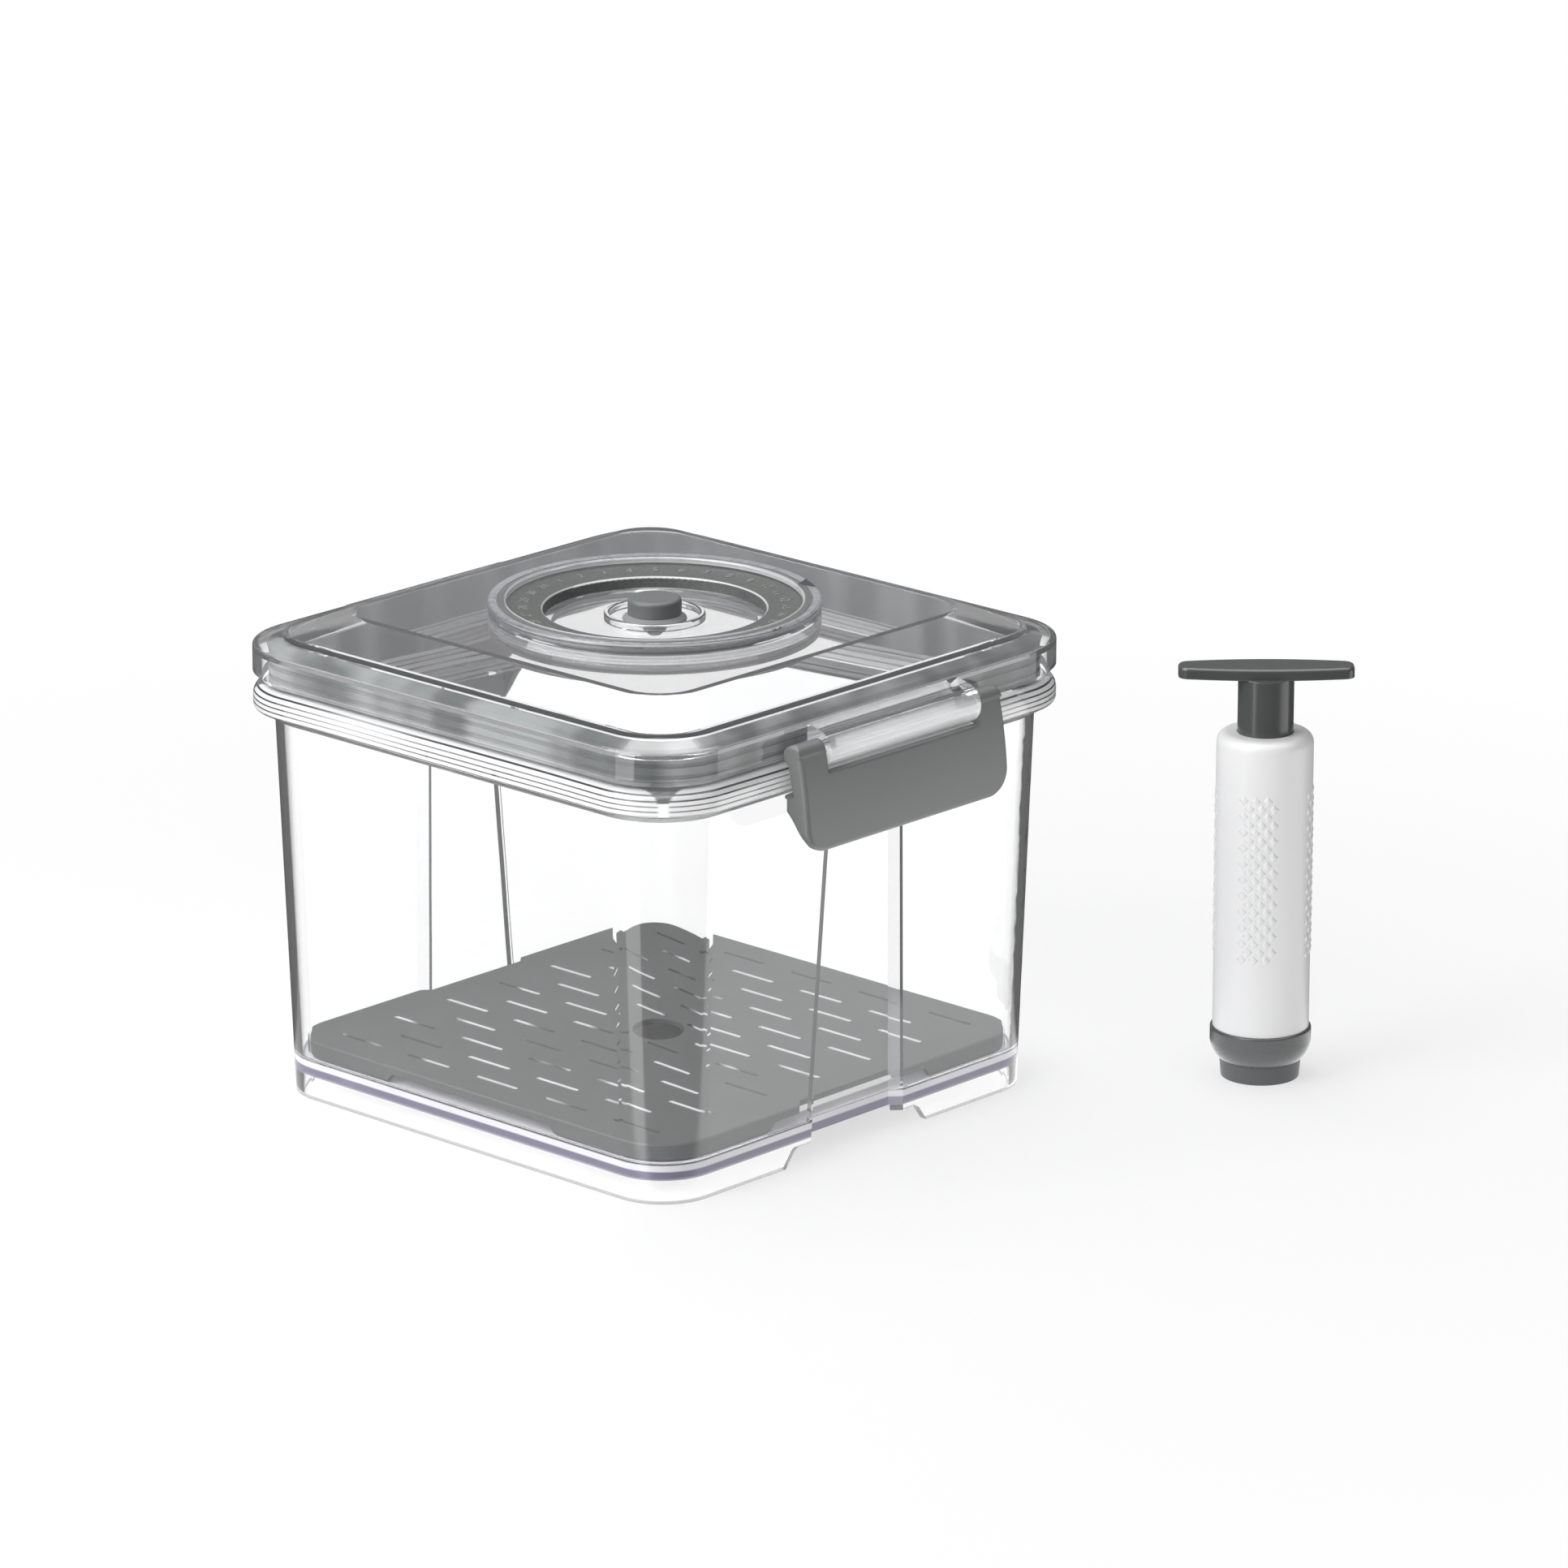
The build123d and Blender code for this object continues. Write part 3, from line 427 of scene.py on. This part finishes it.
clearTub = {
    "tint": (1.0, 1.0, 1.0),
    "tintDeep": (0.994, 0.994, 0.998),
    "shade": (0.95, 0.95, 0.96),
    "roughness": 0.01,
    "ior": 1.53,
    "waveScale": 22.0,
    "waveDepth": 0.00005,
    "hazeScale": 60.0,
    "milk": 0.012,              # share of light that the plastic scatters
    "milkColour": (0.9, 0.9, 0.92),
    "upright": (0.6, 0.2),      # faces that point less up or down than this
    # the floor plate pipes light to its edge, painted as a violet line with a painted glow above it
    "edgeLine": (0.0092, 0.0125, 0.0002),
    "edgeGlow": (0.0125, 0.0150, 0.0004),
    "edgeColour": (0.25, 0.235, 0.33),
    "glowColour": (0.93, 0.915, 0.97),
    "edgeRoughness": 0.12,
    "edgeCover": 0.95,
    "streakScale": 35.0,
    "streakRoughness": 0.06,
    "streakLoss": 0.25,
    # the plate's top has a painted glow from here out to the wall
    "ledgeOut": (0.0885, 0.001),
    "ledgeHeight": (0.0125, 0.0160, 0.0004),
    # the sloping sides of the recesses are painted pale, a painted highlight
    "recessAside": (0.015, 0.029, 0.001),
    "recessWall": (0.090, 0.001),
    "recessFlat": (0.975, 0.01),    # faces that look straight out are left clear
    "recessHighlightPaint": 0.14,
    # the bead and rib round the mouth are painted pale with dark lines, a painted refraction
    "rimOut": (0.1062, 0.0006),
    "rimHeight": (0.1502, 0.1590, 0.0003),
    "rimRefractionPaint": 0.80,
    "rimRoughness": 0.15,
    "rimColour": (0.93, 0.93, 0.94),
    "rimLineColour": (0.03, 0.03, 0.035),
    "rimPitch": 0.0019,
    "rimWander": 0.0016,
    "rimWanderScale": 11.0,
    "rimLine": (0.30, 0.1),     # share of the pitch that is line
    "rimFaintest": 0.35,        # what stays of a line where it fades
    "rimFadeScale": 16.0,
    "rimFade": (0.46, 0.16),
    # the lowest band of the foot is painted dark grey
    "footLine": (0.0007, 0.0002),
    "footColour": (0.30, 0.30, 0.31),
    "footRoughness": 0.6,
    "footCover": 0.6,
}


def dressTub(finish, look, shader):
    x, y, z = finish.split()
    ny, nz = finish.split("Normal")[1:]
    upright = abs(nz).below(*look["upright"])
    outwards = abs(x).larger(abs(y))

    line = z.between(*look["edgeLine"])
    glow = z.between(*look["edgeGlow"])
    streaks = finish.noise(look["streakScale"], detail=1.0)
    edgeRough = look["edgeRoughness"] + look["streakRoughness"] * streaks
    paintedEdgeLight = finish.plastic(finish.blend(line, look["glowColour"], look["edgeColour"]), edgeRough)
    ledge = outwards.above(*look["ledgeOut"]) * (1 - upright) * z.between(*look["ledgeHeight"])
    lit = (upright * (line + glow) + ledge) * (look["edgeCover"] - look["streakLoss"] * streaks)
    shader = finish.cover(lit, shader, paintedEdgeLight)

    aslant = abs(x).between(*look["recessAside"]) * abs(y).above(*look["recessWall"])
    aslant = aslant * abs(ny).below(*look["recessFlat"]) * upright
    pale = finish.plastic(look["milkColour"], clearPieces["milkRoughness"])
    shader = finish.cover(aslant * look["recessHighlightPaint"], shader, pale)

    rim = outwards.above(*look["rimOut"]) * z.between(*look["rimHeight"])
    wander = finish.noise(look["rimWanderScale"], detail=1.0).swing(look["rimWander"])
    paintedRefractionLines = ((z + wander) * (1 / look["rimPitch"])).zigzag().below(*look["rimLine"])
    fade = finish.noise(look["rimFadeScale"], detail=1.0).above(*look["rimFade"])
    paintedRefractionLines = paintedRefractionLines * (look["rimFaintest"] + (1 - look["rimFaintest"]) * fade)
    rimColour = finish.blend(paintedRefractionLines, look["rimColour"], look["rimLineColour"])
    lined = finish.plastic(rimColour, look["rimRoughness"])
    shader = finish.cover(rim * look["rimRefractionPaint"], shader, lined)

    darkFoot = finish.plastic(look["footColour"], look["footRoughness"])
    return finish.cover(look["footCover"] * z.below(*look["footLine"]), shader, darkFoot)


clearLid = {
    "tint": (0.992, 0.993, 0.998),
    "tintDeep": (0.982, 0.984, 0.99),
    "shade": (0.93, 0.935, 0.94),
    "roughness": 0.014,
    "ior": 1.5,
    "waveScale": 26.0,
    "waveDepth": 0.00005,
    "hazeScale": 70.0,
    "milk": 0.035,
    "milkColour": (0.8, 0.8, 0.82),
    # the lower half of each hinge bar is painted pale, as painted light
    "barOut": (0.1125, 0.0006),
    "barHalf": (0.0402, 0.0004),
    "barTop": (0.1655, 0.0012),
    "barLightPaint": 0.6,
    "barColour": (0.93, 0.93, 0.94),
    "barRoughness": 0.12,
}


def dressLid(finish, look, shader):
    x, y, z = finish.split()
    low = abs(y).above(*look["barOut"]) * abs(x).below(*look["barHalf"])
    low = low * z.below(*look["barTop"])
    pale = finish.plastic(look["barColour"], look["barRoughness"])
    return finish.cover(low * look["barLightPaint"], shader, pale)


clearBezel = {
    "tint": (0.985, 0.985, 0.99),
    "tintDeep": (0.975, 0.977, 0.985),
    "shade": (0.95, 0.95, 0.955),
    "roughness": 0.016,
    "ior": 1.5,
    "waveScale": 60.0,
    "waveDepth": 0.00004,
    "hazeScale": 120.0,
    "milk": 0.02,
    "milkColour": (0.9, 0.9, 0.92),
    # its thin inner edge over the date ring is painted pale out to here, a painted highlight
    "edgeRadius": (0.0555, 0.0002),
    "edgeHighlightPaint": 0.4,
    "edgeColour": (0.93, 0.93, 0.94),
    "edgeRoughness": 0.12,
}


def dressBezel(finish, look, shader):
    x, y = finish.split()[:2]
    edge = x.radius(y).below(*look["edgeRadius"])
    pale = finish.plastic(look["edgeColour"], look["edgeRoughness"])
    return finish.cover(edge * look["edgeHighlightPaint"], shader, pale)


# Opaque plastics and rubbers: fine spark-eroded grain, faint flow marks, rounded edges

plastics = {
    "numberGrey": {
        "dark": (0.24, 0.25, 0.245), "light": (0.29, 0.30, 0.295), "flowScale": 40.0,
        "roughness": 0.38, "roughnessChange": 0.1,
        "grainScale": 3200.0, "grainDepth": 0.00001, "edge": 0.0001,
    },
    "pointerDark": {
        "dark": (0.03, 0.032, 0.034), "light": (0.04, 0.042, 0.044), "flowScale": 60.0,
        "roughness": 0.4, "roughnessChange": 0.1,
        "grainScale": 3000.0, "grainDepth": 0.00001, "edge": 0.0001,
    },
    "buttonGrey": {
        "dark": (0.118, 0.126, 0.127), "light": (0.134, 0.142, 0.143), "flowScale": 60.0,
        "roughness": 0.5, "roughnessChange": 0.2,
        "grainScale": 3200.0, "grainDepth": 0.00002, "edge": 0.0006,
    },
    "latchGrey": {
        "dark": (0.168, 0.173, 0.171), "light": (0.192, 0.197, 0.196), "flowScale": 16.0,
        "roughness": 0.34, "roughnessChange": 0.16,
        "grainScale": 3000.0, "grainDepth": 0.000015, "edge": 0.0011,
    },
    "valveSilicone": {
        "dark": (0.20, 0.21, 0.21), "light": (0.24, 0.25, 0.25), "flowScale": 40.0,
        "roughness": 0.6, "roughnessChange": 0.14,
        "grainScale": 1800.0, "grainDepth": 0.00002, "edge": 0.0003,
    },
    "barrelWhite": {
        "dark": (0.83, 0.83, 0.835), "light": (0.85, 0.85, 0.855), "flowScale": 20.0,
        "roughness": 0.34, "roughnessChange": 0.08,
        "grainScale": 2400.0, "grainDepth": 0.000008, "edge": 0.0006,
    },
    "capDark": {
        "dark": (0.075, 0.077, 0.08), "light": (0.09, 0.092, 0.095), "flowScale": 40.0,
        "roughness": 0.28, "roughnessChange": 0.16,
        "grainScale": 2600.0, "grainDepth": 0.00002, "edge": 0.0005,
    },
    "cupRubber": {
        "dark": (0.07, 0.072, 0.075), "light": (0.09, 0.092, 0.095), "flowScale": 50.0,
        "roughness": 0.6, "roughnessChange": 0.14,
        "grainScale": 2000.0, "grainDepth": 0.00003, "edge": 0.0004,
    },
    "handleDark": {
        "dark": (0.062, 0.064, 0.064), "light": (0.076, 0.078, 0.078), "flowScale": 30.0,
        "roughness": 0.22, "roughnessChange": 0.16,
        "grainScale": 2600.0, "grainDepth": 0.000015, "edge": 0.0006,
    },
    "innerWhite": {
        "dark": (0.70, 0.70, 0.69), "light": (0.78, 0.78, 0.77), "flowScale": 50.0,
        "roughness": 0.5, "roughnessChange": 0.1,
        "grainScale": 2000.0, "grainDepth": 0.00002, "edge": 0.0003,
    },
    "innerSilicone": {
        "dark": (0.18, 0.18, 0.18), "light": (0.22, 0.22, 0.22), "flowScale": 60.0,
        "roughness": 0.6, "roughnessChange": 0.1,
        "grainScale": 2000.0, "grainDepth": 0.00002, "edge": 0.0002,
    },
}


def mouldedPlastic(name, look):
    finish = Finish(name)
    flow = finish.noise(look["flowScale"])
    grain = finish.noise(look["grainScale"], rough=0.6)
    colour = finish.blend(flow, look["dark"], look["light"])
    return finish.end(finish.grained(look, grain, colour, look["roughness"]))


trayLook = {
    "dark": (0.108, 0.114, 0.111),
    "light": (0.148, 0.153, 0.151),
    "flowScale": 18.0,
    "roughness": 0.45,
    "roughnessChange": 0.2,
    "grainScale": 2600.0,
    "grainDepth": 0.00003,
    "edge": 0.0005,
    # painted highlight colour of the slot walls
    "glint": (0.86, 0.87, 0.87),
    "glintPatches": 28.0,       # per metre; the painted highlight on the slots' walls lies in patches
    "glintShare": (0.46, 0.04),
    "glintLow": (0.0206, 0.0003),   # and above this height
    "slotField": (0.083, 0.001),    # half width of the part of the tray that has slots
    "slotWalls": (0.4, 0.1),    # faces that point less up or down than this
    "holeClear": (0.018, 0.001),    # round the finger hole
}


def makeTrayFinish():
    # grey plastic with a painted highlight on its slot walls
    look = trayLook
    finish = Finish("trayGrey")
    x, y, z = finish.split()
    nz = finish.split("Normal")[2]
    flow = finish.noise(look["flowScale"])
    grain = finish.noise(look["grainScale"], rough=0.6)
    patches = finish.noise(look["glintPatches"], detail=1.0).above(*look["glintShare"])
    field = abs(x).below(*look["slotField"]) * abs(y).below(*look["slotField"])
    paintedSlotGlint = field * x.radius(y).above(*look["holeClear"]) * abs(nz).below(*look["slotWalls"])
    paintedSlotGlint = paintedSlotGlint * patches * z.above(*look["glintLow"])
    plain = finish.blend(flow, look["dark"], look["light"])
    colour = finish.blend(paintedSlotGlint, plain, look["glint"])
    return finish.end(finish.grained(look, grain, colour, look["roughness"]))


gasketLook = {
    "dark": (0.070, 0.080, 0.078),
    "light": (0.30, 0.315, 0.312),
    "streaks": 42.0,            # per metre round the lid
    "streakSquash": 0.08,       # share of that number up and down
    "streakShare": (0.5, 0.16),
    "roughness": 0.22,
    "roughnessChange": 0.1,
    "grainScale": 1800.0,
    "grainDepth": 0.00001,
    "edge": 0.0004,
}


def makeGasketFinish():
    # satin grey silicone with light and dark streaks painted up and down, as painted reflections
    look = gasketLook
    finish = Finish("gasketSilicone")
    where = finish.add("ShaderNodeTexCoord").outputs["Object"]
    sockets = {"Vector": where, "Scale": (1.0, 1.0, look["streakSquash"])}
    tall = finish.add("ShaderNodeMapping", None, sockets).outputs[0]
    streaks = finish.noise(look["streaks"], detail=1.5, where=tall).above(*look["streakShare"])
    colour = finish.blend(streaks, look["dark"], look["light"])
    grain = finish.noise(look["grainScale"])
    return finish.end(finish.grained(look, grain, colour, look["roughness"]))


ringLook = {
    "dark": (0.072, 0.080, 0.074),
    "light": (0.102, 0.110, 0.104),
    "speckle": 900.0,
    "speckleShare": (0.5, 0.12),
    "roughness": 0.45,
    "roughnessChange": 0.1,
    "grainScale": 2400.0,
    "grainDepth": 0.00004,
    "edge": 0.0005,
    "lip": (0.62, 0.63, 0.63),
    "lipRadius": (0.0419, 0.0002),  # the polished inner lip, with its painted highlight, ends here
    "lipUpwards": (0.35, 0.1),  # and only its faces that point up carry the painted highlight
    "lipPolish": 0.25,
}


def makeRingFinish():
    # dark speckled plastic with a polished lip round its bore, whose upward faces carry a painted
    # highlight
    look = ringLook
    finish = Finish("ringGrey")
    x, y = finish.split()[:2]
    nz = finish.split("Normal")[2]
    speckle = finish.noise(look["speckle"], rough=0.7).above(*look["speckleShare"])
    grain = finish.noise(look["grainScale"], rough=0.6)
    lip = x.radius(y).below(*look["lipRadius"]) * nz.above(*look["lipUpwards"])
    plain = finish.blend(speckle, look["dark"], look["light"])
    colour = finish.blend(lip, plain, look["lip"])
    roughness = look["roughness"] - look["lipPolish"] * lip
    return finish.end(finish.grained(look, grain, colour, roughness))


screwSteel = {
    "dark": (0.42, 0.42, 0.43),
    "light": (0.58, 0.58, 0.59),
    "markScale": 900.0,
    "roughness": 0.3,
    "roughnessChange": 0.1,
    "edge": 0.0002,
}


def makeSteel():
    look = screwSteel
    finish = Finish("screwSteel")
    marks = finish.noise(look["markScale"], detail=1.0)
    return finish.end(finish.surface({
        "Base Color": finish.blend(marks, look["dark"], look["light"]),
        "Metallic": 1.0,
        "Roughness": look["roughness"] + marks.swing(look["roughnessChange"]),
        "Normal": finish.softEdge(look["edge"]),
    }))


finishes = {name: mouldedPlastic(name, look) for name, look in plastics.items()}
finishes["clearTub"] = clearPlastic("clearTub", clearTub, dressTub)
finishes["clearLid"] = clearPlastic("clearLid", clearLid, dressLid)
finishes["clearBezel"] = clearPlastic("clearBezel", clearBezel, dressBezel)
finishes["trayGrey"] = makeTrayFinish()
finishes["gasketSilicone"] = makeGasketFinish()
finishes["ringGrey"] = makeRingFinish()
finishes["screwSteel"] = makeSteel()
wears = {
    "container_body": "clearTub",
    "lid_shell": "clearLid",
    "dial_bezel": "clearBezel",
    "drain_tray": "trayGrey",
    "lid_gasket": "gasketSilicone",
    "date_ring": "ringGrey",
    "valve_button": "buttonGrey",
    "valve_seal": "valveSilicone",
    "latch_front": "latchGrey",
    "latch_back": "latchGrey",
    "pump_barrel": "barrelWhite",
    "pump_base_cap": "capDark",
    "suction_cup": "cupRubber",
    "valve_plate": "innerWhite",
    "intake_flap": "innerSilicone",
    "pump_handle": "handleDark",
    "piston": "innerWhite",
    "piston_seal": "innerSilicone",
    "exhaust_flap": "innerSilicone",
    "piston_screw": "screwSteel",
}
for node, finishName in wears.items():
    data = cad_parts[node].data
    data.materials.clear()
    data.materials.append(finishes[finishName])
print("materials given to", len(wears), "nodes")


# Day numbers moulded on the date ring
dayNumbers = {
    "count": 31,
    "size": 0.0048,
    "middle": 0.0485,           # radius of the numbers' middle line
    "innerRadius": 0.04128,     # of the ring's top, and its height there and at its outer edge
    "outerRadius": 0.0571,
    "innerTop": 0.1852,
    "outerTop": 0.1866,
    "raise": 0.00018,
    "curveSteps": 3,
}


def makeDayNumbers():
    look = dayNumbers
    wide = look["outerRadius"] - look["innerRadius"]
    rise = look["outerTop"] - look["innerTop"]
    slope = math.atan2(rise, wide)
    share = (look["middle"] - look["innerRadius"]) / wide
    height = look["innerTop"] + rise * share
    ring = bmesh.new()
    for day in range(1, look["count"] + 1):
        words = bpy.data.curves.new("day", "FONT")
        words.body = str(day)
        words.align_x = "CENTER"
        words.align_y = "CENTER"
        words.size = look["size"]
        words.extrude = look["raise"]
        words.resolution_u = look["curveSteps"]
        holder = bpy.data.objects.new("day", words)
        plate = bpy.data.meshes.new_from_object(holder)
        turn = -2 * math.pi * (day - 1) / look["count"]
        plate.transform(
            Matrix.Rotation(turn, 4, "Z") @ Matrix.Translation((0, look["middle"], height))
            @ Matrix.Rotation(slope, 4, "X")
        )
        ring.from_mesh(plate)
        bpy.data.objects.remove(holder)
        bpy.data.curves.remove(words)
        bpy.data.meshes.remove(plate)
    numbers = makeObject("date_numbers", ring, finishes["numberGrey"])
    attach(numbers, "dial")


# Pointer on the bezel that the day is read at
datePointer = {
    "radius": 0.0583,
    "top": 0.1890,
    "width": 0.0115,
    "length": 0.0050,
    "raise": 0.00018,
    "turn": -28.5,              # degrees round from the right, seen from above
}


def makePointer():
    look = datePointer
    mesh = bmesh.new()
    half, tip = look["width"] / 2, look["length"] / 2
    corners = [mesh.verts.new(spot) for spot in ((-half, tip, 0), (0, -tip, 0), (half, tip, 0))]
    face = mesh.faces.new(corners)
    raised = bmesh.ops.extrude_face_region(mesh, geom=[face])
    lifted = [part for part in raised["geom"] if isinstance(part, bmesh.types.BMVert)]
    bmesh.ops.translate(mesh, verts=lifted, vec=(0, 0, look["raise"]))
    bmesh.ops.recalc_face_normals(mesh, faces=mesh.faces)
    turned = Matrix.Rotation(math.radians(look["turn"] - 90), 4, "Z")
    place = turned @ Matrix.Translation((0, look["radius"], look["top"]))
    bmesh.ops.transform(mesh, matrix=place, verts=mesh.verts)
    pointer = makeObject("date_pointer", mesh, finishes["pointerDark"])
    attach(pointer, "lid")


# Panels of low diamonds round the pump's barrel, to grip
gripDiamonds = {
    "axis": (0.1625, -0.1581),
    "radius": 0.0181,
    "facing": -2.56,            # where round the barrel the first panel's middle lies, radians
    "panels": 4,
    "columns": 6,
    "rows": 11,
    "low": 0.0502,              # middle of the lowest row
    "columnPitch": 0.0023,
    "rowPitch": 0.0062,
    "halfWidth": 0.0021,
    "halfHeight": 0.0029,
    "raise": 0.00045,
    "sink": 0.00016,            # how deep the base lies in the barrel
}


def makeGripDiamonds():
    look = gripDiamonds
    grip = bmesh.new()
    tall = look["raise"] + look["sink"]
    outwards = look["radius"] - look["sink"] + tall / 2
    # a four-sided cone that points outwards instead of up, and its base made a diamond
    stand = Matrix(((0, 0, 1, 0), (1, 0, 0, 0), (0, 1, 0, 0), (0, 0, 0, 1)))
    stand = stand @ Matrix.Diagonal((look["halfWidth"], look["halfHeight"], tall, 1))
    for panel in range(look["panels"]):
        for column in range(look["columns"]):
            aside = (column - (look["columns"] - 1) / 2) * look["columnPitch"] / look["radius"]
            turn = look["facing"] + 2 * math.pi * panel / look["panels"] + aside
            for row in range(look["rows"] - column % 2):
                height = look["low"] + (row + column % 2 / 2) * look["rowPitch"]
                place = (
                    Matrix.Translation((*look["axis"], height)) @ Matrix.Rotation(turn, 4, "Z")
                    @ Matrix.Translation((outwards, 0, 0)) @ stand
                )
                bmesh.ops.create_cone(
                    grip, cap_ends=True, segments=4, radius1=1, radius2=0, depth=1, matrix=place,
                )
    diamonds = makeObject("grip_diamonds", grip, finishes["barrelWhite"])
    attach(diamonds, "pump")


makeDayNumbers()
makePointer()
makeGripDiamonds()
print("date numbers, pointer and grip diamonds made")
